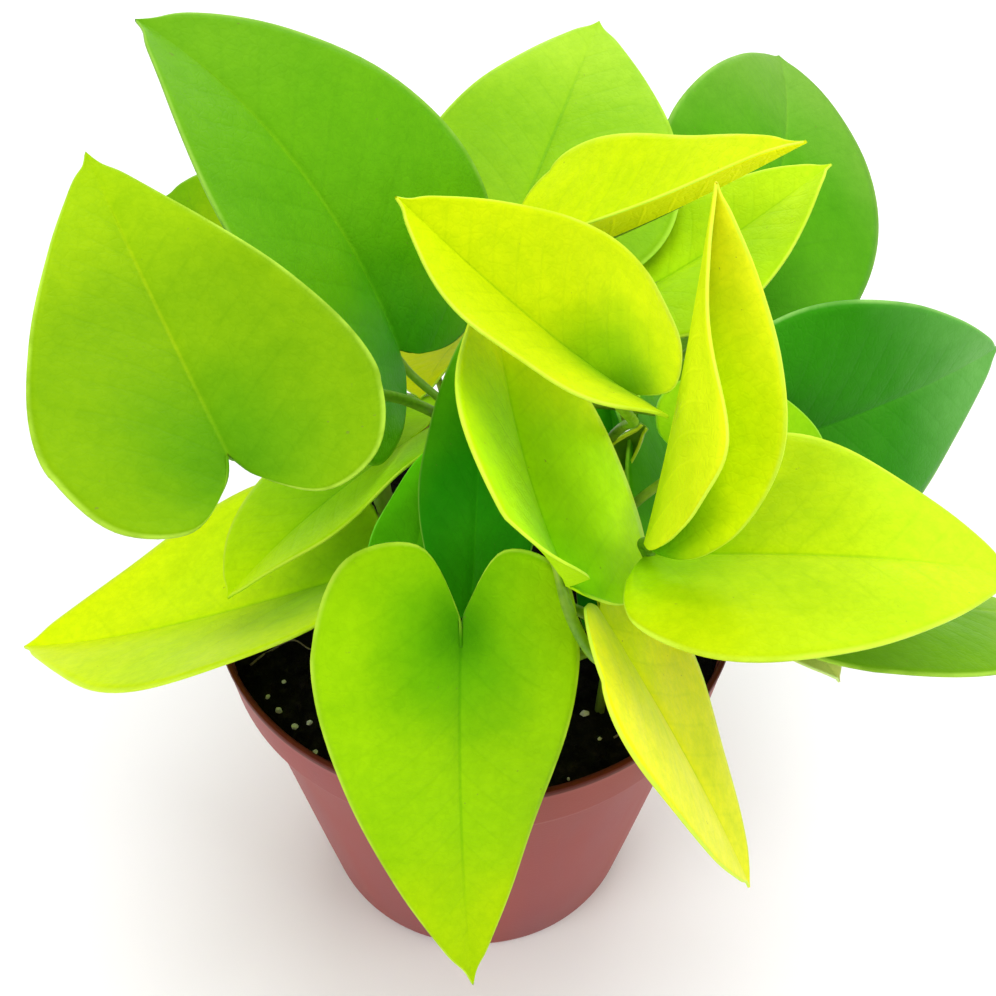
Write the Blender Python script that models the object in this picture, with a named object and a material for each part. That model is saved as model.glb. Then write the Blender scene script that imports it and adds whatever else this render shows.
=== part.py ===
"""Potted pothos plant: a moulded nursery pot, its potting soil, short vine stems and a crown of leaves.

Every size below is in millimetres or degrees, and MM turns it into Blender's metres.
The origin is the centre of the pot's base, +Z is up, and the plant's front faces -Y.
A heading of 0 points a leaf to +X (the plant's right) and 90 points it to +Y (its back).
"""
import math

import bmesh
import bpy
import numpy as np
from mathutils import Vector

MM = 0.001
GAP = 0.3                   # air left between pieces that touch

# Pot: a tapered cup with a deeper collar at the top and a ring of drainage holes in its base
POT_HEIGHT = 100.0
POT_RIM_RADIUS = 60.0
POT_BASE_RADIUS = 42.0
POT_WALL = 1.4
COLLAR_HEIGHT = 16.0
COLLAR_STEP = 3.0           # how far the collar stands out from the body below it
POT_SIDES = 48
FOOT_ROUNDING = 2.0
DRAIN_HOLES = 6
DRAIN_RADIUS = 4.0
DRAIN_RING_RADIUS = 28.0

# Soil: it fills the pot to a little below the rim
SOIL_LEVEL = 93.0
SOIL_EDGE_DIP = 1.2         # the soil has shrunk down slightly where it meets the wall
SOIL_SIDES = 32

# Vine stems
STEM_RADIUS = 2.5
STEM_TIP_RADIUS = 2.0

# Leaves
BLADE_THICKNESS = 0.6
BLADE_ROWS = 11             # from the stalk's joint to the drip tip
BLADE_COLUMNS = 3           # from the midrib to the edge, on each side
LOBE_SHARE = 0.3            # part of the edge, measured from the joint, that runs round the lobe
BLADE_START = -0.35         # the lobes reach this share of the length behind the stalk's joint
STALK_RADIUS = 1.2
STALK_TIP_RADIUS = 0.9
STALK_DROP = 1.7            # the stalk ends this far below the blade's joint
STALK_STEPS = 7
ROLLED_LEAF_RADIUS = 2.4

# Half outline of a blade as (share of the half width, share of the length), from joint to tip:
# a heart with lobes behind the joint, and the plain egg shape of a younger leaf.
HEART = ((0, 0), (0.13, -0.10), (0.42, -0.19), (0.78, -0.14), (0.985, 0.04), (0.985, 0.27),
         (0.80, 0.52), (0.50, 0.745), (0.20, 0.91), (0.06, 0.965), (0, 1))
EGG = ((0, 0), (0.16, 0), (0.45, 0.03), (0.77, 0.11), (0.965, 0.26), (0.985, 0.41),
       (0.81, 0.60), (0.50, 0.78), (0.20, 0.92), (0.06, 0.97), (0, 1))

LEAF_COLOURS = {
    "lime": (0.62, 0.75, 0.01),
    "yellow_green": (0.42, 0.66, 0.01),
    "green": (0.16, 0.45, 0.01),
    "dark_green": (0.03, 0.20, 0.01),
}


def remove_all_objects():
    for thing in list(bpy.data.objects):
        bpy.data.objects.remove(thing)


def make_material(name, colour, roughness, metallic=0.0):
    material = bpy.data.materials.new(name)
    material.use_nodes = True
    shader = material.node_tree.nodes["Principled BSDF"]
    shader.inputs["Base Color"].default_value = (*colour, 1.0)
    shader.inputs["Roughness"].default_value = roughness
    shader.inputs["Metallic"].default_value = metallic
    material.diffuse_color = (*colour, 1.0)
    return material


def pot_material():
    return make_material("pot_plastic", (0.36, 0.11, 0.09), 0.45)


def soil_material():
    return make_material("potting_soil", (0.012, 0.010, 0.009), 0.95)


def stem_material():
    return make_material("vine_stem", (0.20, 0.36, 0.03), 0.5)


def stalk_material():
    return make_material("leaf_stalk", (0.36, 0.55, 0.03), 0.45)


def leaf_material(tint):
    return make_material("leaf_" + tint, LEAF_COLOURS[tint], 0.4)


def add_object(name, data, material):
    thing = bpy.data.objects.new(name, data)
    bpy.context.scene.collection.objects.link(thing)
    data.materials.append(material)
    return thing


def object_from_bmesh(name, mesh_builder, material, sharp_angle=35):
    mesh = bpy.data.meshes.new(name)
    mesh_builder.to_mesh(mesh)
    mesh_builder.free()
    mesh.shade_smooth()
    mesh.set_sharp_from_angle(angle=math.radians(sharp_angle))
    return add_object(name, mesh, material)


def spin_profile(profile, sides):
    """Turn a closed (radius, height) outline round the Z axis; both its ends lie on the axis."""
    turned = bmesh.new()
    rim = [turned.verts.new((radius * MM, 0, height * MM)) for radius, height in profile]
    edges = [turned.edges.new(pair) for pair in zip(rim, rim[1:])]
    bmesh.ops.spin(turned, geom=rim + edges, cent=(0, 0, 0), axis=(0, 0, 1),
                   angle=2 * math.pi, steps=sides, use_merge=True)
    bmesh.ops.remove_doubles(turned, verts=turned.verts, dist=0.01 * MM)
    bmesh.ops.recalc_face_normals(turned, faces=turned.faces)
    return turned


def pot_radius(height):
    """Outer radius of the pot's body, below the collar."""
    neck_height = POT_HEIGHT - COLLAR_HEIGHT
    neck_radius = POT_RIM_RADIUS - 1.5 - COLLAR_STEP
    return POT_BASE_RADIUS + (neck_radius - POT_BASE_RADIUS) * height / neck_height


def make_drain_cutter(index):
    angle = 2 * math.pi * (index + 0.5) / DRAIN_HOLES
    cutter = bmesh.new()
    bmesh.ops.create_cone(cutter, cap_ends=True, segments=16, radius1=DRAIN_RADIUS * MM,
                          radius2=DRAIN_RADIUS * MM, depth=20 * MM)
    mesh = bpy.data.meshes.new(f"drain_cutter_{index}")
    cutter.to_mesh(mesh)
    cutter.free()
    thing = bpy.data.objects.new(mesh.name, mesh)
    bpy.context.scene.collection.objects.link(thing)
    thing.location = Vector((math.cos(angle), math.sin(angle), 0)) * DRAIN_RING_RADIUS * MM
    thing.hide_render = True
    thing.display_type = "WIRE"
    return thing


def make_pot():
    neck = POT_HEIGHT - COLLAR_HEIGHT
    outside = [
        (0, 0),
        (POT_BASE_RADIUS - FOOT_ROUNDING, 0),
        (POT_BASE_RADIUS - 0.5, 0.6),
        (POT_BASE_RADIUS + 0.2, FOOT_ROUNDING),
        (pot_radius(neck * 0.5), neck * 0.5),
        (pot_radius(neck - 2), neck - 2),
        (pot_radius(neck) + COLLAR_STEP * 0.6, neck),
        (pot_radius(neck) + COLLAR_STEP, neck + 2.5),
        (POT_RIM_RADIUS - 0.3, POT_HEIGHT - 3),
        (POT_RIM_RADIUS, POT_HEIGHT - 0.8),
        (POT_RIM_RADIUS - 0.6, POT_HEIGHT),
    ]
    inside = [
        (POT_RIM_RADIUS - 1.2, POT_HEIGHT),
        (POT_RIM_RADIUS - POT_WALL - 0.3, POT_HEIGHT - 1),
        (pot_radius(neck) + COLLAR_STEP - POT_WALL, neck + 2.5),
        (pot_radius(neck - 2) - POT_WALL, neck - 2),
        (pot_radius(neck * 0.5) - POT_WALL, neck * 0.5),
        (POT_BASE_RADIUS - POT_WALL, POT_WALL + 1),
        (POT_BASE_RADIUS - POT_WALL - 1, POT_WALL),
        (0, POT_WALL),
    ]
    pot = object_from_bmesh("pot", spin_profile(outside + inside, POT_SIDES), pot_material())
    for index in range(DRAIN_HOLES):
        cut = pot.modifiers.new(f"drain_hole_{index}", "BOOLEAN")
        cut.operation = "DIFFERENCE"
        cut.solver = "EXACT"
        cut.object = make_drain_cutter(index)
    return pot


def make_soil():
    neck = POT_HEIGHT - COLLAR_HEIGHT
    clear = POT_WALL + GAP + 0.2
    profile = [
        (0, POT_WALL + GAP),
        (POT_BASE_RADIUS - clear - 1, POT_WALL + GAP),
        (POT_BASE_RADIUS - clear, POT_WALL + GAP + 1),
        (pot_radius(neck * 0.5) - clear, neck * 0.5),
        (pot_radius(neck - 2) - clear, neck - 2),
        (pot_radius(neck) + COLLAR_STEP - clear - 0.2, neck + 3),
        (pot_radius(neck) + COLLAR_STEP - clear, SOIL_LEVEL - SOIL_EDGE_DIP),
        (POT_RIM_RADIUS - 9, SOIL_LEVEL),
        (0, SOIL_LEVEL),
    ]
    return object_from_bmesh("soil", spin_profile(profile, SOIL_SIDES), soil_material())


def tube(name, points, radii, steps, sides_level, material):
    """A tapered tube along one cubic curve through four control points: foot, knee, neck and tip."""
    curve = bpy.data.curves.new(name, "CURVE")
    curve.dimensions = "3D"
    curve.bevel_depth = MM
    curve.bevel_resolution = sides_level
    curve.use_fill_caps = True
    curve.resolution_u = steps
    spline = curve.splines.new("BEZIER")
    spline.bezier_points.add(1)
    foot, knee, neck, tip = (Vector(point) * MM for point in points)
    for knot, centre, handle, radius in ((0, foot, knee, radii[0]), (1, tip, neck, radii[1])):
        bezier = spline.bezier_points[knot]
        bezier.handle_left_type = "FREE"
        bezier.handle_right_type = "FREE"
        bezier.co = centre
        bezier.handle_left = handle if knot else centre * 2 - handle
        bezier.handle_right = centre * 2 - handle if knot else handle
        bezier.radius = radius
    return add_object(name, curve, material)


def make_stem(name, foot, top, height):
    """A vine stem rises out of the soil and leans over a little towards its top."""
    start = (foot[0], foot[1], SOIL_LEVEL + GAP)
    knee = (foot[0], foot[1], SOIL_LEVEL + height * 0.4)
    neck = (top[0], top[1], SOIL_LEVEL + height * 0.6)
    end = (top[0], top[1], SOIL_LEVEL + height)
    return tube(name, (start, knee, neck, end), (STEM_RADIUS, STEM_TIP_RADIUS), 6, 2, stem_material())


def smooth_curve(points, count):
    """Even samples of a Catmull-Rom curve through the points."""
    knots = np.array(points, float)
    knots = np.vstack([2 * knots[0] - knots[1], knots, 2 * knots[-1] - knots[-2]])
    spans = len(points) - 1
    along = np.linspace(0, spans, count)
    first = np.minimum(along.astype(int), spans - 1)
    part = (along - first)[:, None]
    before, start, end, after = (knots[first + shift] for shift in range(4))
    return 0.5 * (2 * start + (end - before) * part
                  + (2 * before - 5 * start + 4 * end - after) * part ** 2
                  + (3 * start - before - 3 * end + after) * part ** 3)


def blade_outline(lobes, belly):
    """Half outline of one blade: lobes blends the egg into the heart, belly moves its widest part."""
    points = np.array(EGG) + lobes * (np.array(HEART) - np.array(EGG))
    edge = smooth_curve(points, BLADE_ROWS + 2)[1:]
    edge[:, 0] = np.maximum(edge[:, 0], 0)
    ahead = np.clip(edge[:, 1], 0, 1) ** math.exp(belly)
    edge[:, 1] = np.where(edge[:, 1] < 0, edge[:, 1], ahead)
    return edge


def midrib(base, heading, pitch, roll, length, droop, tip_droop, sweep, twist):
    """Points on the midrib, with its forward, leftward and upward directions, over the blade's length."""
    share = np.linspace(BLADE_START, 1, 136)
    inside = np.clip(share, 0, 1)
    rise = np.radians(pitch - droop * share - tip_droop * inside ** 3)
    turn = np.radians(heading + sweep * share)
    bank = np.radians(roll + twist * share)[:, None]
    forward = np.stack([np.cos(rise) * np.cos(turn), np.cos(rise) * np.sin(turn), np.sin(rise)], -1)
    level = np.stack([-np.sin(turn), np.cos(turn), 0 * turn], -1)
    above = np.cross(forward, level)
    left = np.cos(bank) * level + np.sin(bank) * above
    up = np.cos(bank) * above - np.sin(bank) * level
    step = (share[1] - share[0]) * length
    path = np.vstack([np.zeros(3), np.cumsum((forward[1:] + forward[:-1]) / 2 * step, 0)])
    joint = [np.interp(0, share, path[:, axis]) for axis in range(3)]
    return share, path - joint + np.array(base), forward, left, up


def at_share(rib, shares):
    """Centre, left and up directions of the midrib at the given shares of the length."""
    share, path, _, left, up = rib
    return [np.stack([np.interp(shares, share, values[:, axis]) for axis in range(3)], -1)
            for values in (path, left, up)]


def blade_points(rib, across, along, side, half_width, fold, curl):
    """Place flat blade coordinates on the folded and curled half: side is 1 on the left, -1 on the right."""
    centre, left, up = at_share(rib, along)
    start = math.radians(fold)
    bend = math.radians(curl) if abs(curl) > 0.1 else 0.001
    angle = start + bend * across
    out = half_width * (np.sin(angle) - math.sin(start)) / bend
    lift = -half_width * (np.cos(angle) - math.cos(start)) / bend
    return centre + side * out[:, None] * left + lift[:, None] * up


def make_blade(name, rib, width, fold, curl, lobes, belly, skew, tint):
    """Warp a flat grid into the blade, then thicken it; the grid's long side runs from joint to tip."""
    edge = blade_outline(lobes, belly)
    travel = np.linspace(1 / (BLADE_ROWS + 1), 1, BLADE_ROWS + 1)
    foot = np.clip((travel - LOBE_SHARE) / (1 - LOBE_SHARE), 0, 1)
    sheet = bmesh.new()
    bmesh.ops.create_grid(sheet, x_segments=BLADE_ROWS, y_segments=2 * BLADE_COLUMNS, size=1)
    for vert in sheet.verts:
        row = round((vert.co.x + 1) / 2 * BLADE_ROWS)
        reach = vert.co.y
        side = 1 if reach >= 0 else -1
        half_width = width / 2 * (1 + side * skew)
        across = np.array([edge[row, 0] * abs(reach)])
        along = np.array([foot[row] + (edge[row, 1] - foot[row]) * abs(reach)])
        which = 0 if side > 0 else 1
        place = blade_points(rib, across, along, side, half_width, fold[which], curl[which])
        vert.co = Vector(place[0]) * MM
    bmesh.ops.remove_doubles(sheet, verts=sheet.verts, dist=0.05 * MM)
    bmesh.ops.dissolve_degenerate(sheet, edges=sheet.edges, dist=0.05 * MM)
    blade = object_from_bmesh(name, sheet, leaf_material(tint), sharp_angle=60)
    shell = blade.modifiers.new("thickness", "SOLIDIFY")
    shell.thickness = BLADE_THICKNESS * MM
    shell.offset = 0
    return blade


def leaf(name, base, heading, pitch, roll, length, width, droop, tip_droop, sweep, twist,
         fold, curl, lobes, belly, skew, foot, knee, neck, tint):
    """One leaf: its blade, and the stalk that rises from foot, past knee and neck, to the blade's joint."""
    rib = midrib(base, heading, pitch, roll, length, droop, tip_droop, sweep, twist)
    make_blade("leaf_" + name, rib, width, fold, curl, lobes, belly, skew, tint)
    _, _, up = at_share(rib, [0.0])
    tip = Vector(base) - Vector(up[0]) * STALK_DROP
    tube("stalk_" + name, (foot, knee, neck, tip), (STALK_RADIUS, STALK_TIP_RADIUS), STALK_STEPS, 1,
         stalk_material())


remove_all_objects()
make_pot()
make_soil()

make_stem("stem_left", foot=(-15, -4), top=(-21, 3), height=36)
make_stem("stem_right", foot=(16, -6), top=(22, -12), height=40)
make_stem("stem_back", foot=(3, 18), top=(6, 27), height=38)
tube("rolled_leaf", ((23, -11, 134.5), (26.5, -9, 139.5), (30.5, -5.5, 144), (34, -4.5, 149.5)),
     (1.6, ROLLED_LEAF_RADIUS), 6, 2, leaf_material("yellow_green"))

leaf("left", base=(-38.5, -46, 178.5), heading=120, pitch=15, roll=5,
     length=64, width=55.5, droop=-13, tip_droop=-5, sweep=1, twist=0,
     fold=(14, 13), curl=(-8, 9), lobes=1.15, belly=0.2, skew=0,
     foot=(16.5, -9.5, 126), knee=(-20, -1, 180), neck=(-30, -42, 177), tint="green")

leaf("back_left", base=(-16.5, 16, 152.5), heading=154, pitch=72, roll=-2,
     length=83, width=75.5, droop=40, tip_droop=11, sweep=5, twist=-10,
     fold=(15, 16), curl=(4, -12), lobes=0.5, belly=0.05, skew=0,
     foot=(16.5, -4, 112), knee=(12, 10, 133), neck=(-16, 20, 138), tint="green")

leaf("far_left", base=(-37.5, 56.5, 127.5), heading=139, pitch=23, roll=-33,
     length=65, width=60.5, droop=18, tip_droop=9, sweep=1, twist=-5,
     fold=(12, 16), curl=(-12, -11), lobes=1, belly=-0.05, skew=0,
     foot=(-0.5, 21, 100), knee=(-6, 24, 110), neck=(-33, 53, 117), tint="green")

leaf("back", base=(7.5, 50, 161), heading=70, pitch=20, roll=5,
     length=67, width=62, droop=-1, tip_droop=0, sweep=1, twist=3,
     fold=(9, 8), curl=(-8, -8), lobes=0.85, belly=0, skew=-0.1,
     foot=(9.5, 26.5, 123.5), knee=(20.5, 33, 142), neck=(7, 46, 151), tint="yellow_green")

leaf("back_right", base=(62.5, 57, 136.5), heading=59, pitch=35, roll=32,
     length=79.5, width=67.5, droop=18, tip_droop=7, sweep=35, twist=-5,
     fold=(12, 7), curl=(-6, -16), lobes=0.5, belly=-0.3, skew=0.05,
     foot=(24, 31.5, 94), knee=(32, 38, 123), neck=(58, 54, 128), tint="green")

leaf("right_dark", base=(62, -1.5, 143), heading=23, pitch=0, roll=60,
     length=62, width=56, droop=-6, tip_droop=3, sweep=13, twist=15,
     fold=(12, 7), curl=(-9, -3), lobes=1, belly=-0.1, skew=-0.05,
     foot=(-15, 2.5, 124), knee=(6, 13, 158), neck=(44, 0, 146), tint="dark_green")

leaf("young_upper", base=(11, 24, 169), heading=-25, pitch=31, roll=24,
     length=63, width=56.5, droop=-15, tip_droop=6, sweep=5, twist=-3,
     fold=(5, 58), curl=(-4, -16), lobes=0.6, belly=0.4, skew=0,
     foot=(3.5, 39.5, 94), knee=(5, 37, 109), neck=(10, 43, 144), tint="lime")

leaf("upper_right", base=(36, 36, 154.5), heading=26, pitch=15, roll=-2,
     length=51, width=47, droop=-21, tip_droop=7, sweep=-1, twist=-6,
     fold=(13, 13), curl=(-12, -16), lobes=1, belly=0.05, skew=0,
     foot=(21, 25.5, 94), knee=(25, 28, 108), neck=(32, 29, 124), tint="lime")

leaf("top", base=(24, -27, 178.5), heading=163, pitch=31, roll=5,
     length=47.5, width=44.5, droop=-12, tip_droop=4, sweep=-3, twist=-37,
     fold=(29, 23), curl=(-3, -9), lobes=1, belly=0.1, skew=-0.05,
     foot=(22, -6, 124), knee=(29, 12, 152), neck=(34, -35, 166), tint="lime")

leaf("young_upright", base=(30.5, -44.5, 157), heading=71, pitch=39, roll=-12,
     length=63, width=57, droop=-54, tip_droop=6, sweep=6, twist=-7,
     fold=(110, 21), curl=(24, -15), lobes=0.2, belly=-0.1, skew=0.25,
     foot=(31, -40, 151.5), knee=(30, -39, 153), neck=(32, -43, 154), tint="lime")

leaf("right", base=(32, -40.5, 150), heading=-18, pitch=21, roll=-8,
     length=63, width=59.5, droop=25, tip_droop=12, sweep=18, twist=10,
     fold=(14, 16), curl=(-9, -20), lobes=0.15, belly=0.1, skew=0,
     foot=(45, -7.5, 94), knee=(45, -7, 124), neck=(40, -48, 122), tint="lime")

leaf("center", base=(17, -50.5, 153), heading=117, pitch=29, roll=43,
     length=60.5, width=56.5, droop=-6, tip_droop=10, sweep=-23, twist=-4,
     fold=(23, 15), curl=(-15, -16), lobes=0.15, belly=0.15, skew=-0.05,
     foot=(27.5, -32.5, 94), knee=(29, -29, 134), neck=(27, -67, 126), tint="yellow_green")

leaf("center_dark", base=(0, -44, 135), heading=86, pitch=51, roll=-17,
     length=60.5, width=25, droop=15, tip_droop=7, sweep=3, twist=-2,
     fold=(6, 8), curl=(-15, -12), lobes=-0.05, belly=-0.2, skew=-0.05,
     foot=(4, -32, 94), knee=(3, -35, 109), neck=(0, -46, 117), tint="dark_green")

leaf("front", base=(-1.5, -54, 139), heading=-93, pitch=-64, roll=0,
     length=71.5, width=47.5, droop=15, tip_droop=-33, sweep=14, twist=0,
     fold=(-2, 14), curl=(-15, -15), lobes=1.35, belly=0.25, skew=-0.1,
     foot=(-12, -28, 94), knee=(-8, -39, 123), neck=(-2, -43, 138), tint="yellow_green")

leaf("front_right", base=(24, -43, 137), heading=-37, pitch=-49, roll=-23,
     length=68, width=62.5, droop=5, tip_droop=5, sweep=-3, twist=5,
     fold=(1, 26), curl=(-11, -19), lobes=0.6, belly=0.35, skew=-0.05,
     foot=(-17.5, -5, 118), knee=(-17, -12, 129), neck=(7, -37, 135), tint="lime")

leaf("low_left", base=(-21.5, -16.5, 119), heading=186, pitch=-19, roll=19,
     length=83, width=77, droop=4, tip_droop=-17, sweep=-8, twist=-3,
     fold=(17, 13), curl=(-11, 12), lobes=0.2, belly=-0.1, skew=0,
     foot=(12.5, -8, 100), knee=(8, -11, 108), neck=(-13, -19, 110), tint="lime")

leaf("inner_left", base=(-15, 7, 134.5), heading=226, pitch=-2, roll=20,
     length=51.5, width=46, droop=14, tip_droop=7, sweep=3, twist=-11,
     fold=(22, 7), curl=(-3, -13), lobes=1.25, belly=-0.35, skew=-0.1,
     foot=(1, 20.5, 118), knee=(-3, 18, 124), neck=(-9, 11, 130), tint="lime")

leaf("inner_dark", base=(-12, -35, 135.5), heading=77, pitch=36, roll=-10,
     length=31, width=18.5, droop=16, tip_droop=8, sweep=1, twist=-1,
     fold=(12, 12), curl=(-12, -12), lobes=1, belly=0, skew=0,
     foot=(-14, -6.5, 106), knee=(-9, -18, 124), neck=(-9, -29, 122), tint="dark_green")

leaf("low_right", base=(69.5, -30.5, 126), heading=5, pitch=-7, roll=-19,
     length=58.5, width=54, droop=18, tip_droop=6, sweep=14, twist=0,
     fold=(-5, 7), curl=(-13, -11), lobes=1.05, belly=-0.15, skew=0,
     foot=(36, -16.5, 94), knee=(42, -19, 113), neck=(52, -39, 111), tint="green")

leaf("small_right", base=(58, -11, 112), heading=-44, pitch=-10, roll=-9,
     length=30.5, width=27.5, droop=20, tip_droop=8, sweep=0, twist=-2,
     fold=(12, 14), curl=(-12, -12), lobes=1, belly=0, skew=0,
     foot=(10, -33, 94), knee=(10, -33, 115), neck=(44, -26, 107), tint="lime")

leaf("small_back", base=(-2, 60.5, 127), heading=250, pitch=15, roll=26,
     length=32, width=30.5, droop=13, tip_droop=8, sweep=5, twist=5,
     fold=(10, 10), curl=(-9, -11), lobes=0.7, belly=0, skew=-0.05,
     foot=(-10.5, 29.5, 94), knee=(-9, 34, 106), neck=(0, 62, 122), tint="lime")

leaf("inner_right", base=(43, -16.5, 151), heading=17, pitch=-3, roll=26,
     length=34.5, width=32.5, droop=31, tip_droop=9, sweep=1, twist=1,
     fold=(16, 12), curl=(-7, -12), lobes=0.95, belly=-0.05, skew=0.05,
     foot=(21.5, -14, 118.5), knee=(26.5, -17.5, 128.5), neck=(29, -17, 141), tint="green")

leaf("inner_olive", base=(44, -8, 119), heading=91, pitch=31, roll=46,
     length=49.5, width=44.5, droop=17, tip_droop=8, sweep=3, twist=2,
     fold=(17, 12), curl=(-10, -12), lobes=1, belly=0, skew=0,
     foot=(32, -15.5, 94), knee=(35, -14, 106), neck=(38, -10, 114), tint="dark_green")

leaf("small_inner", base=(34.5, 1.5, 111), heading=247, pitch=-4, roll=42,
     length=26.5, width=24, droop=18, tip_droop=8, sweep=1, twist=3,
     fold=(17, 12), curl=(-9, -12), lobes=1, belly=0, skew=0,
     foot=(27.5, 16, 94), knee=(28, 15, 102), neck=(38, 9, 106), tint="dark_green")

leaf("small_center", base=(33, -6.5, 118), heading=97, pitch=36, roll=-46,
     length=34.5, width=31, droop=17, tip_droop=8, sweep=-2, twist=-5,
     fold=(45, 49), curl=(-12, -6), lobes=0.2, belly=0, skew=0,
     foot=(2, 35, 94), knee=(6, 30, 117), neck=(37, -4, 115), tint="dark_green")

leaf("rear", base=(-15.5, 69, 121), heading=100, pitch=12, roll=0,
     length=59.5, width=51.5, droop=62, tip_droop=8, sweep=0, twist=0,
     fold=(12, 12), curl=(-12, -12), lobes=1, belly=0, skew=0,
     foot=(-4.5, 39.5, 94), knee=(-5, 40, 111), neck=(-14, 62, 116), tint="green")

leaf("rear_right", base=(40, 62, 120), heading=62, pitch=8, roll=0,
     length=52, width=46, droop=58, tip_droop=8, sweep=0, twist=0,
     fold=(12, 12), curl=(-12, -12), lobes=1, belly=0, skew=0,
     foot=(7.5, 26, 112.5), knee=(8.5, 34, 125.5), neck=(28, 51, 112.5), tint="green")
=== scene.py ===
"""Potted pothos: the finished look of the plant and its nursery pot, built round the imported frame.

Lengths named in millimetres are turned into metres by MM. +Z is up and the plant's front faces -Y.
"""
import math
import random

import bmesh
import bpy
import numpy as np
from mathutils import Matrix, Vector, noise


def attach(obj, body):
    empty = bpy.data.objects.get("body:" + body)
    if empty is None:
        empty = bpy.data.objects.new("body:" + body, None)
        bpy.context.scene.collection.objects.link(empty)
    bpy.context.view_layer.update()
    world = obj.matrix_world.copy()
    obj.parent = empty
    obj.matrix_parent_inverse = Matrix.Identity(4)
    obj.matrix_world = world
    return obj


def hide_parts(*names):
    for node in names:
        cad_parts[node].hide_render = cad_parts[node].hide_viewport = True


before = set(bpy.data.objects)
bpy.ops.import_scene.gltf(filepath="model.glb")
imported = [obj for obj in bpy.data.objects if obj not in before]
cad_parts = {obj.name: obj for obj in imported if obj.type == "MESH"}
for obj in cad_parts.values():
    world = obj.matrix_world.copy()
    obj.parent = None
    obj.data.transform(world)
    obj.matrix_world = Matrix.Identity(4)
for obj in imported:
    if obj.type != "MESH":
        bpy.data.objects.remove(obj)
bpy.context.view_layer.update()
MM = 0.001


# ------------------------------------------------------------------------------
# Studio: a plain pale floor that the pot stands on, broad soft lamps round it, and the camera, which
# looks down on the plant from the front at about forty-four degrees.
CAMERA_PLACE = Vector((4.76, -188.09, 306.18)) * MM
CAMERA_TARGET = Vector((4.76, 0, 124.63)) * MM
CAMERA_LENS = 43.37
CAMERA_ROLL = math.radians(0.71)
FLOOR_HALF_WIDTH = 3.0
FLOOR_COLOUR = (0.95, 0.95, 0.95)
LAMPS = (
    dict(name="lamp_top", place=(0.15, 0.10, 1.3), size=1.3, watts=10.5),
    dict(name="lamp_front_left", place=(-0.9, -0.8, 0.9), size=0.9, watts=7.5),
    dict(name="lamp_right", place=(1.0, -0.3, 0.7), size=0.9, watts=4.5),
    dict(name="lamp_back", place=(0.1, 1.1, 0.8), size=1.0, watts=5),
)
LAMP_TARGET = Vector((0, 0, 0.12))
AIR_BRIGHTNESS = 0.47


def aim(thing, place, target, roll=0.0):
    forward = (target - place).normalized()
    turn = forward.to_track_quat("-Z", "Y").to_matrix().to_4x4()
    thing.matrix_world = Matrix.Translation(place) @ turn @ Matrix.Rotation(roll, 4, "Z")


def add_camera():
    data = bpy.data.cameras.new("camera")
    data.lens = CAMERA_LENS
    data.sensor_width = 36
    data.clip_start = 0.01
    camera = bpy.data.objects.new("camera", data)
    bpy.context.scene.collection.objects.link(camera)
    aim(camera, CAMERA_PLACE, CAMERA_TARGET, CAMERA_ROLL)
    bpy.context.scene.camera = camera


def add_lamp(name, place, size, watts):
    data = bpy.data.lights.new(name, "AREA")
    data.shape = "DISK"
    data.size = size
    data.energy = watts
    lamp = bpy.data.objects.new(name, data)
    bpy.context.scene.collection.objects.link(lamp)
    aim(lamp, Vector(place), LAMP_TARGET)


def add_world(brightness):
    world = bpy.data.worlds.new("studio_air")
    world.use_nodes = True
    world.node_tree.nodes["Background"].inputs["Color"].default_value = (1, 1, 1, 1)
    world.node_tree.nodes["Background"].inputs["Strength"].default_value = brightness
    bpy.context.scene.world = world


def new_material(name, roughness, specular=0.5, sheen_colour=(1, 1, 1)):
    """A material with its own shader; sheen_colour tints what the surface reflects at a slant."""
    material = bpy.data.materials.new(name)
    material.use_nodes = True
    shader = material.node_tree.nodes["Principled BSDF"]
    shader.inputs["Roughness"].default_value = roughness
    shader.inputs["Specular IOR Level"].default_value = specular
    shader.inputs["Specular Tint"].default_value = (*sheen_colour, 1)
    return material, shader


def finish_object(builder, name, materials, smooth=True):
    """Turn a finished bmesh into an object that stands at the origin."""
    mesh = bpy.data.meshes.new(name)
    builder.to_mesh(mesh)
    builder.free()
    if smooth:
        mesh.shade_smooth()
    piece = bpy.data.objects.new(name, mesh)
    bpy.context.scene.collection.objects.link(piece)
    for material in materials:
        mesh.materials.append(material)
    return piece


def add_floor():
    builder = bmesh.new()
    bmesh.ops.create_grid(builder, x_segments=1, y_segments=1, size=FLOOR_HALF_WIDTH)
    material, shader = new_material("floor_paint", 0.8, 0.2)
    shader.inputs["Base Color"].default_value = (*FLOOR_COLOUR, 1)
    finish_object(builder, "floor", [material])


bpy.context.scene.view_settings.view_transform = "Standard"
add_camera()
add_world(AIR_BRIGHTNESS)
for lamp_facts in LAMPS:
    add_lamp(**lamp_facts)
add_floor()


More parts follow.
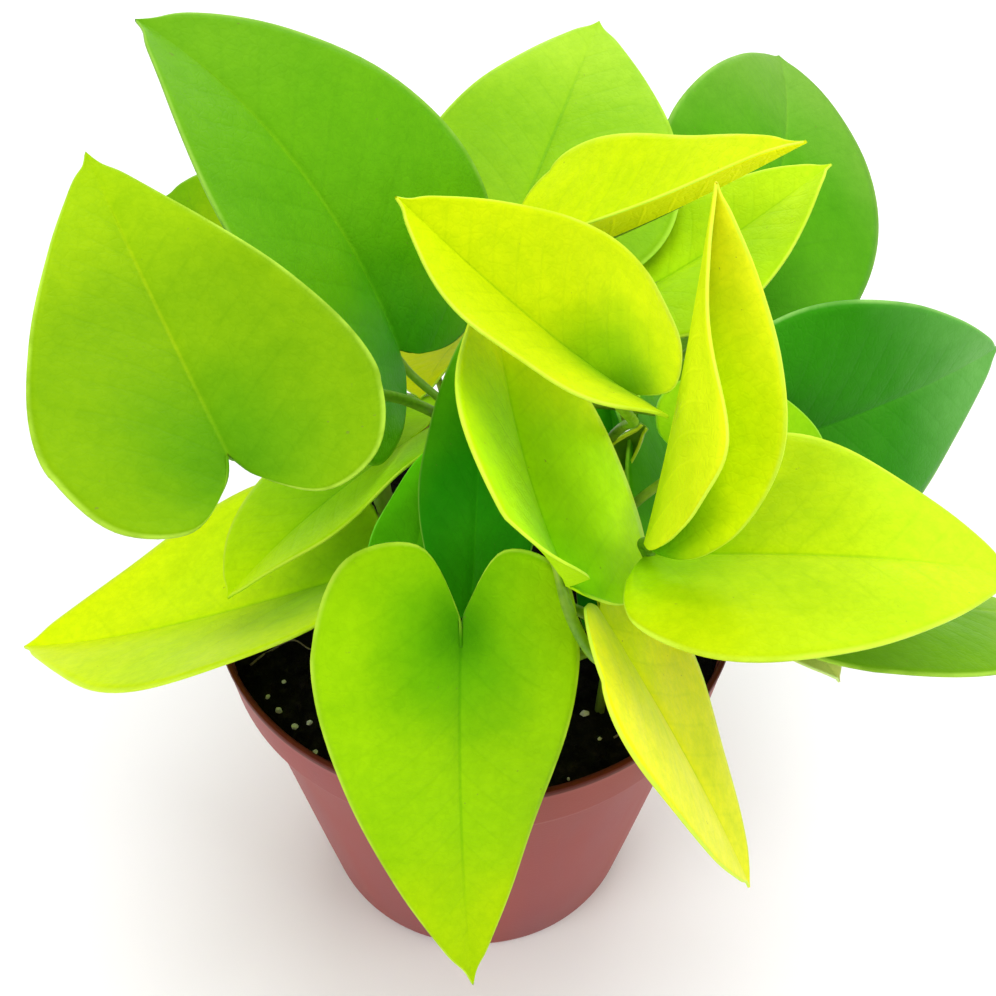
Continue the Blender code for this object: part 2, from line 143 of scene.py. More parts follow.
# ------------------------------------------------------------------------------
# Pot: an injection-moulded nursery pot in terracotta-pink plastic, tapered, with a deeper collar at
# the top, a thin lip and six drainage holes round its base. Everything else stands in it.
POT_HEIGHT = 100.0
POT_RIM_RADIUS = 60.0
POT_BASE_RADIUS = 42.0
POT_WALL = 1.4
COLLAR_HEIGHT = 16.0
COLLAR_STEP = 3.0
POT_NECK_HEIGHT = POT_HEIGHT - COLLAR_HEIGHT
POT_NECK_RADIUS = POT_RIM_RADIUS - 1.5 - COLLAR_STEP
DRAIN_HOLES = 6
DRAIN_RADIUS = 4.0
DRAIN_RING_RADIUS = 28.0
POT_SIDES = 144
CORNER_REACH = 0.6          # a corner of the outline is softened this far along both its sides
WELD = 0.002                # points closer than this become one
POT_COLOUR = (0.245, 0.046, 0.052)
POT_PALE = (0.37, 0.095, 0.076)
POT_LIP = (0.10, 0.016, 0.009)
POT_DIRT = (0.10, 0.045, 0.03)
POT_SHEEN = (1, 0.62, 0.6)


class Skin:
    """One material while it is made: layers of colour go over its tone, and seal() closes it."""

    def __init__(self, name, roughness, specular=0.5, sheen_colour=(1, 1, 1)):
        self.material, self.shader = new_material(name, roughness, specular, sheen_colour)
        self.where = self.node("ShaderNodeTexCoord").outputs["Object"]

    def node(self, kind, inputs=None, **settings):
        """Add one node; inputs maps a socket's name or index to a value or to another node's socket."""
        tree = self.material.node_tree
        node = tree.nodes.new(kind)
        for setting, value in settings.items():
            setattr(node, setting, value)
        for socket, value in (inputs or {}).items():
            if isinstance(value, bpy.types.NodeSocket):
                tree.links.new(value, node.inputs[socket])
            else:
                node.inputs[socket].default_value = value
        return node

    def split(self, vector):
        return self.node("ShaderNodeSeparateXYZ", {0: vector}).outputs

    def maths(self, operation, first, second=0.0, third=0.0):
        return self.node("ShaderNodeMath", {0: first, 1: second, 2: third}, operation=operation).outputs[0]

    def times(self, first, second):
        return self.maths("MULTIPLY", first, second)

    def band(self, value, low, high, low_out=0.0, high_out=1.0):
        """A smooth step from low_out to high_out as the value goes from low to high."""
        inputs = {"Value": value, "From Min": low, "From Max": high, "To Min": low_out, "To Max": high_out}
        return self.node("ShaderNodeMapRange", inputs, interpolation_type="SMOOTHSTEP").outputs["Result"]

    def noise(self, scale, detail=3.0, roughness=0.5, where=None):
        inputs = {"Vector": self.where if where is None else where,
                  "Scale": scale, "Detail": detail, "Roughness": roughness}
        return self.node("ShaderNodeTexNoise", inputs).outputs["Fac"]

    def long_noise(self, stretch, scale, detail):
        """Noise that is drawn out along the height."""
        longer = self.node("ShaderNodeMapping", {"Vector": self.where, "Scale": (1, 1, stretch)})
        return self.noise(scale, detail, where=longer.outputs[0])

    def start(self, share, first, second):
        """The ground colour, which wanders between two."""
        self.tone = (*first, 1)
        self.layer(share, second)

    def layer(self, share, paint, mode="MIX"):
        node = self.node("ShaderNodeMix", {0: share, 6: self.tone, 7: (*paint, 1)},
                         data_type="RGBA", blend_type=mode)
        self.tone = node.outputs[2]

    def shade(self, share, tint):
        """Multiply the tone by a tint; above 1 it makes it paler."""
        self.layer(share, tint, "MULTIPLY")

    def seal(self, roughness=None, height=None, strength=0.0, distance=0.0):
        """Wire up the tone, and the roughness and the bump's height where they are given."""
        links = self.material.node_tree.links
        links.new(self.tone, self.shader.inputs["Base Color"])
        if roughness is not None:
            links.new(roughness, self.shader.inputs["Roughness"])
        if height is not None:
            inputs = {"Height": height, "Strength": strength, "Distance": distance}
            links.new(self.node("ShaderNodeBump", inputs).outputs["Normal"], self.shader.inputs["Normal"])
        return self.material


def pot_plastic():
    """Slightly chalky plastic: faint streaks down the wall, a darker lip, and soil stains under it."""
    skin = Skin("pot_plastic", 0.5, 0.15, POT_SHEEN)
    height = skin.split(skin.where)["Z"]
    cloud = skin.long_noise(0.12, 45, 4)
    skin.start(skin.band(cloud, 0.3, 0.75, 0.2, 0.75), POT_COLOUR, POT_PALE)
    skin.layer(skin.band(height, (POT_HEIGHT - 2.2) * MM, (POT_HEIGHT - 1.2) * MM), POT_LIP)
    near_lip = skin.band(height, (POT_HEIGHT - 22) * MM, (POT_HEIGHT - 4) * MM)
    spots = skin.band(skin.noise(420, 5, 0.7), 0.60, 0.72)
    patches = skin.band(skin.noise(38, 2), 0.52, 0.66)
    dirt = skin.times(skin.times(spots, near_lip), patches)
    skin.layer(skin.times(dirt, 0.75), POT_DIRT)
    return skin.seal(skin.band(cloud, 0.3, 0.8, 0.42, 0.6), skin.noise(1400, 2), 0.12, 0.0004)


def spin_profile(profile, sides):
    """Turn a closed (radius, height) outline, whose ends lie on the axis, round the Z axis."""
    turned = bmesh.new()
    knots = [turned.verts.new((radius * MM, 0, height * MM)) for radius, height in profile]
    edges = [turned.edges.new(pair) for pair in zip(knots, knots[1:])]
    bmesh.ops.spin(turned, geom=knots + edges, cent=(0, 0, 0), axis=(0, 0, 1),
                   angle=2 * math.pi, steps=sides, use_merge=True)
    bmesh.ops.remove_doubles(turned, verts=turned.verts, dist=0.01 * MM)
    bmesh.ops.recalc_face_normals(turned, faces=turned.faces)
    return turned


def pot_radius(height):
    """Outer radius of the tapered body below the collar."""
    return POT_BASE_RADIUS + (POT_NECK_RADIUS - POT_BASE_RADIUS) * height / POT_NECK_HEIGHT


def rounded(corners):
    """Soften an outline: each corner becomes three points on a small curve."""
    path = [corners[0]]
    for before, corner, after in zip(corners, corners[1:], corners[2:]):
        before, corner, after = Vector(before), Vector(corner), Vector(after)
        reach_in = min(CORNER_REACH, (before - corner).length * 0.45)
        reach_out = min(CORNER_REACH, (after - corner).length * 0.45)
        start = corner + (before - corner).normalized() * reach_in
        end = corner + (after - corner).normalized() * reach_out
        path += [tuple(start), tuple((start + end) / 4 + corner / 2), tuple(end)]
    return path + [corners[-1]]


def make_pot():
    outside = [(0, 0), (POT_BASE_RADIUS - 1.2, 0), (POT_BASE_RADIUS + 0.2, 2)]
    outside += [(pot_radius(h), h) for h in (20, 40, 60, POT_NECK_HEIGHT - 2)]
    outside += [(POT_NECK_RADIUS + COLLAR_STEP * 0.6, POT_NECK_HEIGHT),
                (POT_NECK_RADIUS + COLLAR_STEP, POT_NECK_HEIGHT + 2.5),
                (POT_RIM_RADIUS - 0.4, POT_HEIGHT - 3), (POT_RIM_RADIUS, POT_HEIGHT - 1.2),
                (POT_RIM_RADIUS, POT_HEIGHT), (POT_RIM_RADIUS - POT_WALL, POT_HEIGHT)]
    inside = [(POT_NECK_RADIUS + COLLAR_STEP - POT_WALL, POT_NECK_HEIGHT + 2.5)]
    inside += [(pot_radius(h) - POT_WALL, h) for h in (POT_NECK_HEIGHT - 2, 40, POT_WALL + 1)]
    inside += [(POT_BASE_RADIUS - POT_WALL - 1, POT_WALL), (0, POT_WALL)]
    turned = spin_profile(rounded(outside + inside), POT_SIDES)
    pot = finish_object(turned, "nursery_pot", [pot_plastic()])
    pot.data.set_sharp_from_angle(angle=math.radians(50))
    cutters = bmesh.new()
    for hole in range(DRAIN_HOLES):
        angle = 2 * math.pi * (hole + 0.5) / DRAIN_HOLES
        place = Vector((math.cos(angle), math.sin(angle), 0)) * DRAIN_RING_RADIUS * MM
        bmesh.ops.create_cone(cutters, cap_ends=True, segments=40, radius1=DRAIN_RADIUS * MM,
                              radius2=DRAIN_RADIUS * MM, depth=10 * MM, matrix=Matrix.Translation(place))
    cutter = finish_object(cutters, "drain_cutter", [], smooth=False)
    cut = pot.modifiers.new("drain_holes", "BOOLEAN")
    cut.operation = "DIFFERENCE"
    cut.object = cutter
    apply_modifiers(pot)
    bpy.data.objects.remove(cutter)
    cut_wall = bmesh.new()
    cut_wall.from_mesh(pot.data)
    bmesh.ops.remove_doubles(cut_wall, verts=cut_wall.verts, dist=WELD * MM)
    cut_wall.to_mesh(pot.data)
    cut_wall.free()
    return pot


def apply_modifiers(piece):
    """Keep the shape that the modifiers make, and drop the modifiers themselves."""
    evaluated = piece.evaluated_get(bpy.context.evaluated_depsgraph_get())
    mesh = bpy.data.meshes.new_from_object(evaluated)
    piece.modifiers.clear()
    piece.data = mesh


def fix_piece(piece, node):
    """The whole plant is one body, so every piece rides on root and stands for its node."""
    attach(piece, "root")
    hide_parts(node)


fix_piece(make_pot(), "pot")


# ------------------------------------------------------------------------------
# Soil: nearly black peat potting mix that fills the pot to a little below its lip, with crumbs and
# bark on top, a few pale perlite grains, and a few fine dry root fibres.
SOIL_LEVEL = 93.0
SOIL_EDGE = POT_RIM_RADIUS - POT_WALL - 0.9
SOIL_LUMP = 0.9
SOIL_RINGS = 46
SOIL_SIDES = 160
CRUMB_COUNT = 1500
PERLITE = ((-42, -34, 0.9), (-45, -30, 0.6), (-38, -38, 0.8), (-35, -37, 0.7), (-42, -26, 0.5),
           (-33, -44, 0.6), (24, -34, 1.1), (27, -40, 0.5), (20, -50, 0.4), (44, -24, 0.9),
           (-12, -50, 0.9), (2, -47, 1.0), (-47, 12, 1.1), (-38, 30, 1.0), (-20, 44, 1.2), (5, 50, 0.9),
           (28, 42, 1.3), (46, 20, 1.0), (40, 33, 0.8), (-10, 36, 0.9), (36, -8, 1.0), (10, 8, 0.8),
           (-28, 12, 1.1))
FIBRES = (((-50, -22), (-42, -15), (-36, -17), (-26, -10)), ((30, -40), (38, -34), (41, -25), (47, -20)),
          ((-20, 48), (-8, 43), (4, 46), (14, 40)), ((-44, 24), (-36, 20), (-34, 10), (-26, 6)))
PEAT_DARK = (0.003, 0.0025, 0.0025)
PEAT_PALE = (0.020, 0.015, 0.013)
PERLITE_GREY = (0.50, 0.49, 0.48)
PERLITE_WHITE = (0.90, 0.89, 0.88)
ROOT_BROWN = (0.10, 0.07, 0.05)
ROOT_PALE = (0.34, 0.28, 0.22)


def soil_height(x, y):
    """Height of the soil's surface: lumps of two sizes, and a slight dip where it has left the wall."""
    lumps = noise.noise(Vector((x, y, 4)) * 0.11) * 0.7 + noise.noise(Vector((x, y, 9)) * 0.37) * 0.45
    dip = max(0.0, math.hypot(x, y) - SOIL_EDGE + 7) ** 2 * 0.03
    return SOIL_LEVEL + SOIL_LUMP * lumps - 0.3 - dip


def peat():
    skin = Skin("potting_soil", 0.92, 0.1)
    skin.start(skin.band(skin.noise(260, 6, 0.65), 0.42, 0.75), PEAT_DARK, PEAT_PALE)
    damp = skin.band(skin.noise(40, 2), 0.4, 0.65, 0.75, 0.97)
    return skin.seal(damp, skin.noise(900, 5, 0.7), 0.8, 0.0012)


def make_soil():
    clear = POT_WALL + 0.5
    wall = [(pot_radius(h) - clear, h) for h in (POT_WALL + 1.4, 40, POT_NECK_HEIGHT - 2)]
    wall += [(POT_NECK_RADIUS + COLLAR_STEP - clear - 0.2, POT_NECK_HEIGHT + 3),
             (SOIL_EDGE, SOIL_LEVEL - 2.5)]
    top = [(SOIL_EDGE * (1 - ring / SOIL_RINGS), SOIL_LEVEL) for ring in range(SOIL_RINGS + 1)]
    profile = [(0, POT_WALL + 0.4), (POT_BASE_RADIUS - clear - 1, POT_WALL + 0.4)] + wall + top
    soil = spin_profile(profile, SOIL_SIDES)
    for vert in soil.verts:
        if vert.co.z > (SOIL_LEVEL - 0.5) * MM:
            vert.co.z = soil_height(vert.co.x / MM, vert.co.y / MM) * MM
    return finish_object(soil, "root_ball", [peat()])


def lump(builder, place, size, flatness, dice, facets=1):
    """One irregular grain: a small icosphere, stretched, turned and dented."""
    angle = dice.uniform(0, 6.28)
    turn = Matrix.Rotation(angle, 4, Vector((dice.random(), dice.random(), dice.random() + 0.1)))
    stretch = Matrix.Diagonal((size, size * dice.uniform(0.6, 1.0), size * flatness, 1))
    made = bmesh.ops.create_icosphere(builder, subdivisions=facets, radius=MM,
                                      matrix=Matrix.Translation(place * MM) @ turn @ stretch)
    for vert in made["verts"]:
        dent = Vector((dice.uniform(-1, 1), dice.uniform(-1, 1), dice.uniform(-1, 1)))
        vert.co += dent * size * 0.16 * MM


def make_crumbs():
    """Loose peat and bark crumbs, spread evenly over the soil."""
    dice = random.Random(12)
    builder = bmesh.new()
    for _ in range(CRUMB_COUNT):
        radius = SOIL_EDGE * math.sqrt(dice.uniform(0.0, 0.985))
        angle = dice.uniform(0, 2 * math.pi)
        x, y = radius * math.cos(angle), radius * math.sin(angle)
        size = dice.uniform(0.35, 0.9) if dice.random() < 0.85 else dice.uniform(1.0, 2.0)
        lump(builder, Vector((x, y, soil_height(x, y) + size * 0.15)), size, dice.uniform(0.4, 0.9), dice)
    return finish_object(builder, "soil_crumbs", [peat()], smooth=False)


def perlite_stone():
    skin = Skin("perlite", 0.85, 0.3)
    skin.start(skin.noise(700), PERLITE_GREY, PERLITE_WHITE)
    return skin.seal(None, skin.noise(2500), 0.6, 0.0004)


def make_perlite():
    dice = random.Random(5)
    builder = bmesh.new()
    for x, y, size in PERLITE:
        lump(builder, Vector((x, y, soil_height(x, y) + size * 0.25)), size, 0.6, dice, 2)
    return finish_object(builder, "perlite_grains", [perlite_stone()], smooth=False)


def dry_root():
    skin = Skin("dry_root", 0.8, 0.3)
    skin.start(skin.noise(350), ROOT_BROWN, ROOT_PALE)
    return skin.seal()


def smooth_curve(points, count):
    """Even samples of a Catmull-Rom curve through the points."""
    knots = np.array(points, float)
    knots = np.vstack([2 * knots[0] - knots[1], knots, 2 * knots[-1] - knots[-2]])
    spans = len(points) - 1
    along = np.linspace(0, spans, count)
    first = np.minimum(along.astype(int), spans - 1)
    part = (along - first)[:, None]
    before, start, end, after = (knots[first + shift] for shift in range(4))
    return 0.5 * (2 * start + (end - before) * part
                  + (2 * before - 5 * start + 4 * end - after) * part ** 2
                  + (3 * start - before - 3 * end + after) * part ** 3)


def add_tube(builder, path, radii, sides, squash=None):
    """Warp a flat grid into a closed round tube along the path; squash(angle, share) scales its radius."""
    rings = len(path) - 1
    tangent = np.gradient(path, axis=0)
    tangent /= np.linalg.norm(tangent, axis=1)[:, None]
    across = np.zeros_like(path)
    across[0] = np.cross(tangent[0], (0, 0, 1) if abs(tangent[0][2]) < 0.9 else (0, 1, 0))
    for ring in range(1, rings + 1):
        across[ring] = across[ring - 1] - tangent[ring] * np.dot(across[ring - 1], tangent[ring])
    across /= np.linalg.norm(across, axis=1)[:, None]
    upward = np.cross(across, tangent)
    made = bmesh.ops.create_grid(builder, x_segments=rings, y_segments=sides, size=1)["verts"]
    for vert in made:
        ring = round((vert.co.x + 1) / 2 * rings)
        angle = (vert.co.y + 1) * math.pi
        radius = radii[ring] * (squash(angle, ring / rings) if squash else 1)
        outward = math.cos(angle) * across[ring] + math.sin(angle) * upward[ring]
        vert.co = Vector(path[ring] + radius * outward) * MM
    bmesh.ops.remove_doubles(builder, verts=made, dist=WELD * MM)
    ends = [edge for edge in builder.edges if edge.is_boundary]
    bmesh.ops.holes_fill(builder, edges=ends, sides=sides)
    bmesh.ops.recalc_face_normals(builder, faces=builder.faces)


def make_fibres():
    builder = bmesh.new()
    for fibre in FIBRES:
        flat = smooth_curve(fibre, 30)
        path = np.array([(x, y, soil_height(x, y) + 0.5) for x, y in flat])
        add_tube(builder, path, np.linspace(0.28, 0.12, 30), 6)
    return finish_object(builder, "root_fibres", [dry_root()])


fix_piece(make_soil(), "soil")
for soil_piece in (make_crumbs(), make_perlite(), make_fibres()):
    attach(soil_piece, "root")


# ------------------------------------------------------------------------------
# Vine stems: three short upright green stems, rooted in the soil and leaning out towards their tops.
# They have swollen joints where stalks leave them, and small aerial root bumps.
STEM_RADIUS = 2.5
STEM_TIP_RADIUS = 2.0
STEM_ROOT_DEPTH = 4.0
STEM_GREEN = (0.13, 0.27, 0.015)
STEM_PALE = (0.33, 0.48, 0.04)
STEM_FOOT = (0.16, 0.09, 0.035)
STEM_RINGS = 60
STEM_JOINTS = (0.3, 0.47, 0.64, 0.81)
FOOT_HEIGHTS = (0.104, 0.092)   # stems and stalks change colour between these heights, in metres
STEMS = (
    dict(name="left", foot=(-15, -4), top=(-21, 3), height=36),
    dict(name="right", foot=(16, -6), top=(22, -12), height=40),
    dict(name="back", foot=(3, 18), top=(6, 27), height=38),
)


def cubic(foot, knee, neck, tip, count):
    """Points on the cubic curve whose four control points are foot, knee, neck and tip."""
    foot, knee, neck, tip = (np.array(point, float) for point in (foot, knee, neck, tip))
    part = np.linspace(0, 1, count)[:, None]
    return ((1 - part) ** 3 * foot + 3 * (1 - part) ** 2 * part * knee
            + 3 * (1 - part) * part ** 2 * neck + part ** 3 * tip)


def stem_skin():
    """Green skin with fine lengthwise streaks, browner near the soil."""
    skin = Skin("vine_stem", 0.5)
    streaks = skin.long_noise(0.15, 900, 3)
    skin.start(streaks, STEM_GREEN, STEM_PALE)
    near_soil = skin.band(skin.split(skin.where)["Z"], *FOOT_HEIGHTS)
    skin.layer(skin.times(near_soil, skin.band(skin.noise(300, 4), 0.3, 0.7)), STEM_FOOT)
    return skin.seal(None, streaks, 0.25, 0.0005)


def make_stem(name, foot, top, height):
    dice = random.Random(len(name))
    path = cubic((*foot, SOIL_LEVEL - STEM_ROOT_DEPTH), (*foot, SOIL_LEVEL + height * 0.4),
                 (*top, SOIL_LEVEL + height * 0.6), (*top, SOIL_LEVEL + height), STEM_RINGS)
    share = np.linspace(0, 1, STEM_RINGS)
    joints = 0.28 * np.exp(-((share[:, None] - np.array(STEM_JOINTS)) / 0.022) ** 2).sum(1)
    radii = STEM_RADIUS + (STEM_TIP_RADIUS - STEM_RADIUS) * share + joints
    radii[-3:] *= (0.93, 0.75, 0.4)
    builder = bmesh.new()
    add_tube(builder, path, radii, 20)
    for at in STEM_JOINTS:
        ring = round(at * (STEM_RINGS - 1))
        for _ in range(2):
            angle = dice.uniform(0, 2 * math.pi)
            side = np.array((math.cos(angle), math.sin(angle), -0.25))
            root = path[ring] + side * radii[ring] * 0.9
            tip = root + side * dice.uniform(1.0, 2.0)
            add_tube(builder, smooth_curve((root, (root + tip) / 2 + (0, 0, 0.2), tip), 7),
                     np.linspace(0.55, 0.18, 7), 8)
    return finish_object(builder, f"vine_{name}", [stem_skin()])


for stem_facts in STEMS:
    fix_piece(make_stem(**stem_facts), "stem_" + stem_facts["name"])


# ------------------------------------------------------------------------------
# Leaves: heart-shaped blades on curved stalks. Each blade is about half a millimetre thick, folded
# a little along its midrib, with a drip tip and a thin pale edge; young ones are yellowest.
BLADE_THICKNESS = 0.55
BLADE_ROWS = 72             # from the stalk's joint to the drip tip
BLADE_COLUMNS = 20          # from the midrib to the edge, on each side
COLUMN_CROWDING = 1.5       # above 1 the columns crowd towards the midrib
SMALLEST_STEP = 0.04        # points nearer to the midrib than this close up on it
BLADE_WELD = 0.0001         # finer than WELD, so that only points that coincide become one
NOTCH_OPENING = 0.02        # least slope of each row away from the midrib, behind the joint
LOBE_SHARE = 0.3            # part of the edge, measured from the joint, that runs round the lobe
BLADE_START = -0.35         # the lobes reach this share of the length behind the stalk's joint
RIB_SAMPLES = 136
SIDE_VEINS = 9
VEIN_SLANT = 0.42           # how far forward a side vein runs on its way out to the edge
VEIN_BOW = 0.16
VEIN_OFFSET = 0.25          # the veins of the two halves don't meet at the midrib
QUILTING = 0.16
EDGE_WAVE = 0.5
MIDRIB_GROOVE = 0.3
MIDRIB_WIDTH = 0.9
STALK_RADIUS = 1.2
STALK_TIP_RADIUS = 0.9
STALK_DROP = 1.7
STALK_SETTING = 3.0         # how far a stalk's foot runs into the soil or into the stem that bears it
RIDGE_SHARES = (0.05, 0.12, 0.22, 0.34, 0.46, 0.58)
RIDGE_DROPS = (0.95, 0.8, 0.65, 0.55, 0.45, 0.4)
STALK_GREEN = (0.13, 0.30, 0.01)
STALK_LIME = (0.30, 0.48, 0.02)
STALK_FOOT = (0.10, 0.14, 0.02)

# Half outline of a blade as (share of the half width, share of the length), from joint to tip:
# a heart with lobes behind the joint, and the plain egg shape of a younger leaf.
HEART = ((0, 0), (0.13, -0.10), (0.42, -0.19), (0.78, -0.14), (0.985, 0.04), (0.985, 0.27),
         (0.80, 0.52), (0.50, 0.745), (0.20, 0.91), (0.06, 0.965), (0, 1))
EGG = ((0, 0), (0.16, 0), (0.45, 0.03), (0.77, 0.11), (0.965, 0.26), (0.985, 0.41),
       (0.81, 0.60), (0.50, 0.78), (0.20, 0.92), (0.06, 0.97), (0, 1))


def blade_outline(lobes, notch, belly):
    """Half outline of one blade: lobes blends the egg into the heart, belly moves its widest part, and a
    notch under 1 brings the two lobes closer together behind the joint."""
    points = np.array(EGG) + lobes * (np.array(HEART) - np.array(EGG))
    points[1] *= (notch, 0.6 + 0.4 * notch)
    points[2, 0] *= 0.7 + 0.3 * notch
    edge = smooth_curve(points, BLADE_ROWS + 2)[1:]
    opening = NOTCH_OPENING * np.arange(1, BLADE_ROWS + 2)
    edge[:, 0] = np.maximum(edge[:, 0], opening * np.clip(-edge[:, 1], 0, 1))
    ahead = np.clip(edge[:, 1], 0, 1) ** math.exp(belly)
    edge[:, 1] = np.where(edge[:, 1] < 0, edge[:, 1], ahead)
    return edge


def midrib(base, heading, pitch, roll, length, droop, tip_droop, sweep, twist):
    """Points on the midrib, with its forward, leftward and upward directions, over the blade's length."""
    share = np.linspace(BLADE_START, 1, RIB_SAMPLES)
    inside = np.clip(share, 0, 1)
    rise = np.radians(pitch - droop * share - tip_droop * inside ** 3)
    turn = np.radians(heading + sweep * share)
    bank = np.radians(roll + twist * share)[:, None]
    forward = np.stack([np.cos(rise) * np.cos(turn), np.cos(rise) * np.sin(turn), np.sin(rise)], -1)
    level = np.stack([-np.sin(turn), np.cos(turn), 0 * turn], -1)
    above = np.cross(forward, level)
    left = np.cos(bank) * level + np.sin(bank) * above
    up = np.cos(bank) * above - np.sin(bank) * level
    step = (share[1] - share[0]) * length
    path = np.vstack([np.zeros(3), np.cumsum((forward[1:] + forward[:-1]) / 2 * step, 0)])
    joint = [np.interp(0, share, path[:, axis]) for axis in range(3)]
    return share, path - joint + np.array(base), left, up


def at_share(rib, shares):
    """Centre, left and up directions of the midrib at the given shares of the length."""
    return [np.stack([np.interp(shares, rib[0], values[:, axis]) for axis in range(3)], -1)
            for values in rib[1:]]


def blade_points(rib, across, along, side, half_width, fold, curl):
    """Place flat blade coordinates on the folded and curled half; also the surface's own up direction."""
    centre, left, up = at_share(rib, along)
    start = np.radians(fold)
    bend = np.radians(np.where(np.abs(curl) > 0.1, curl, 0.06))
    angle = start + bend * across
    out = half_width * (np.sin(angle) - np.sin(start)) / bend
    lift = -half_width * (np.cos(angle) - np.cos(start)) / bend
    place = centre + (side * out)[:, None] * left + lift[:, None] * up
    normal = np.cos(angle)[:, None] * up - (side * np.sin(angle))[:, None] * left
    return place, normal


def relief(across, along, edge_share, side, half_width, seed):
    """Height of the blade's own relief in millimetres: the midrib groove, the quilting between side
    veins, a soft unevenness, and the waving of the edge."""
    groove = -MIDRIB_GROOVE * np.exp(-(across * half_width / MIDRIB_WIDTH) ** 2)
    groove *= np.clip(1.15 - along, 0, 1)
    phase = (along - VEIN_SLANT * across + VEIN_BOW * across ** 2) * SIDE_VEINS + side * VEIN_OFFSET + seed
    fade = np.clip(across * 6, 0, 1) * np.clip((1 - edge_share) * 4, 0, 1)
    fade *= np.clip((1.02 - along) * 3, 0, 1)
    quilt = QUILTING * fade * (np.abs(np.sin(math.pi * phase)) ** 0.7 - 0.6)
    swell = 0.35 * np.sin(along * 7.1 + seed * 2.3 + side) * np.sin(across * 3.3 + seed)
    swell *= np.clip(across * 3, 0, 1)
    ripple = EDGE_WAVE * edge_share ** 4 * np.sin(along * (9 + 2 * side) + seed * 5 + side * 1.7)
    ripple *= np.clip((1 - along) * 20, 0, 1)
    return groove + quilt + (swell + ripple) * np.clip(along * 8 + 1.6, 0, 1)


def make_blade(name, rib, width, fold, curl, lobes, belly, skew, notch, lift, seed, materials):
    """Warp a flat grid into the blade, then thicken it; the grid's long side runs from joint to tip."""
    outlines = np.array([blade_outline(*shape, belly) for shape in zip(lobes, notch)])
    travel = np.linspace(1 / (BLADE_ROWS + 1), 1, BLADE_ROWS + 1)
    foot = np.clip((travel - LOBE_SHARE) / (1 - LOBE_SHARE), 0, 1)
    sheet = bmesh.new()
    bmesh.ops.create_grid(sheet, x_segments=BLADE_ROWS, y_segments=2 * BLADE_COLUMNS, size=1)
    flat = np.array([vert.co[:2] for vert in sheet.verts])
    row = np.round((flat[:, 0] + 1) / 2 * BLADE_ROWS).astype(int)
    side = np.where(flat[:, 1] >= 0, 1.0, -1.0)
    edge_share = np.abs(flat[:, 1]) ** COLUMN_CROWDING
    which = (side < 0).astype(int)
    edge = outlines[which, row]
    half_width = width / 2 * (1 + side * skew)
    reach = np.hypot(edge[:, 0] * half_width, (edge[:, 1] - foot[row]) * 2 * half_width)
    edge_share[edge_share * reach < SMALLEST_STEP] = 0
    across = edge[:, 0] * edge_share
    along = foot[row] + (edge[:, 1] - foot[row]) * edge_share
    place, normal = blade_points(rib, across, along, side, half_width,
                                 np.array(fold)[which], np.array(curl)[which])
    height = relief(across, along, edge_share, side, half_width, seed)
    height += np.array(lift)[which] * edge_share ** 3 * np.clip((0.16 - along) / 0.2, 0, 1)
    place += height[:, None] * normal
    for vert, spot in zip(sheet.verts, place):
        vert.co = Vector(spot) * MM
    sheet.verts.index_update()
    blade_map = sheet.loops.layers.uv.new("blade")
    edge_map = sheet.loops.layers.uv.new("edge")
    for face in sheet.faces:
        for loop in face.loops:
            index = loop.vert.index
            loop[blade_map].uv = (side[index] * across[index], along[index])
            loop[edge_map].uv = (edge_share[index], travel[row[index]])
    bmesh.ops.remove_doubles(sheet, verts=sheet.verts, dist=BLADE_WELD * MM)
    return thicken(finish_object(sheet, "blade_" + name, materials), 1)


def thicken(piece, lower_skin=0):
    """Give a sheet the thickness of a leaf; lower_skin is how many materials further its lower side is."""
    shell = piece.modifiers.new("thickness", "SOLIDIFY")
    shell.thickness = BLADE_THICKNESS * MM
    shell.offset = 0
    shell.material_offset = lower_skin
    apply_modifiers(piece)
    return piece


LEAF_SHEEN = (0.75, 1.0, 0.2)
# Painted shade: the tint that darkens the hollow round the stalk's joint.
PAINTED_CUP_SHADE = (0.30, 0.52, 0.4)
# Painted light, partly the leaf's own paler edge: the tint that makes a band along the lobes paler, for the
# lit edge beside a cast shadow.
PAINTED_LOBE_LIGHT = (1.35, 1.2, 1.0)
CLOUD_SHADE = (0.80, 0.88, 0.75)
CLOUD_LIGHT = (1.18, 1.09, 1.15)
MOTTLE_SHADE = (0.90, 0.94, 0.86)
VEIN_SHADE = (0.84, 0.90, 0.80)
NET_SHADE = (0.88, 0.93, 0.82)
DARK_LEAF_RIB = (1.5, 1.2, 1.5)     # the midrib's tint: paler on a dark leaf, darker on a pale one
PALE_LEAF_RIB = (0.62, 0.80, 0.6)
SPECK_COLOUR = (0.16, 0.15, 0.04)
PALEST_MARGIN = (0.68, 0.94, 0.30)
DARKEST_MARGIN = (0.28, 0.55, 0.06)


def leaf_maps(skin):
    """Signed share across the blade, share along it, share of the way out to the edge, and travel
    along the edge from the joint to the tip."""
    blade, edge = (skin.split(skin.node("ShaderNodeUVMap", uv_map=name).outputs[0])
                   for name in ("blade", "edge"))
    return blade["X"], blade["Y"], edge["X"], edge["Y"]


def vein_lines(skin, across, along, edge_share, seed):
    """1 on the side veins and 0 between them, following the quilting of the blade's own relief."""
    out = skin.maths("ABSOLUTE", across)
    slant = skin.maths("MULTIPLY_ADD", out, -VEIN_SLANT, along)
    bow = skin.times(skin.times(out, out), VEIN_BOW)
    phase = skin.times(skin.maths("ADD", slant, bow), SIDE_VEINS)
    phase = skin.maths("MULTIPLY_ADD", skin.maths("SIGN", across), VEIN_OFFSET, phase)
    turn = skin.times(skin.maths("ADD", phase, seed), math.pi)
    ridge = skin.maths("ABSOLUTE", skin.maths("SINE", turn))
    return skin.times(skin.band(ridge, 0.0, 0.3, 1.0, 0.0), skin.band(edge_share, 0.95, 0.5))


